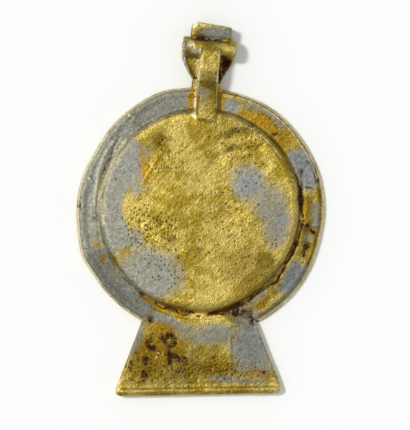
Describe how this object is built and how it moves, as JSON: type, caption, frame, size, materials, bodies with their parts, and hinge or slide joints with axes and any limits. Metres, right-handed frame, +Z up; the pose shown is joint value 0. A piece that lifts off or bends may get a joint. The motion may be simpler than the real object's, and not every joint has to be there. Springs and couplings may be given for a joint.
{
  "type": "bronze icon",
  "caption": "Small cast bronze icon: a round relief plate on a flared foot, with a strap loop for a cord on top, lying on its face with its plain back up.",
  "frame": {"origin": "middle of the casting's box, on the surface that the icon lies on", "axes": "+Z up, out of the plain back; +Y along the icon's height, from the foot to the cord loop; +X to the right, seen from above"},
  "size_m": [0.0597, 0.0901, 0.0071],
  "materials": {
    "bronze": "worn and pitted cast bronze, gold to olive, with silvery grey, ochre and dark brown patina"
  },
  "bodies": {
    "root": {"icon_casting": "bronze"}
  },
  "joints": []
}
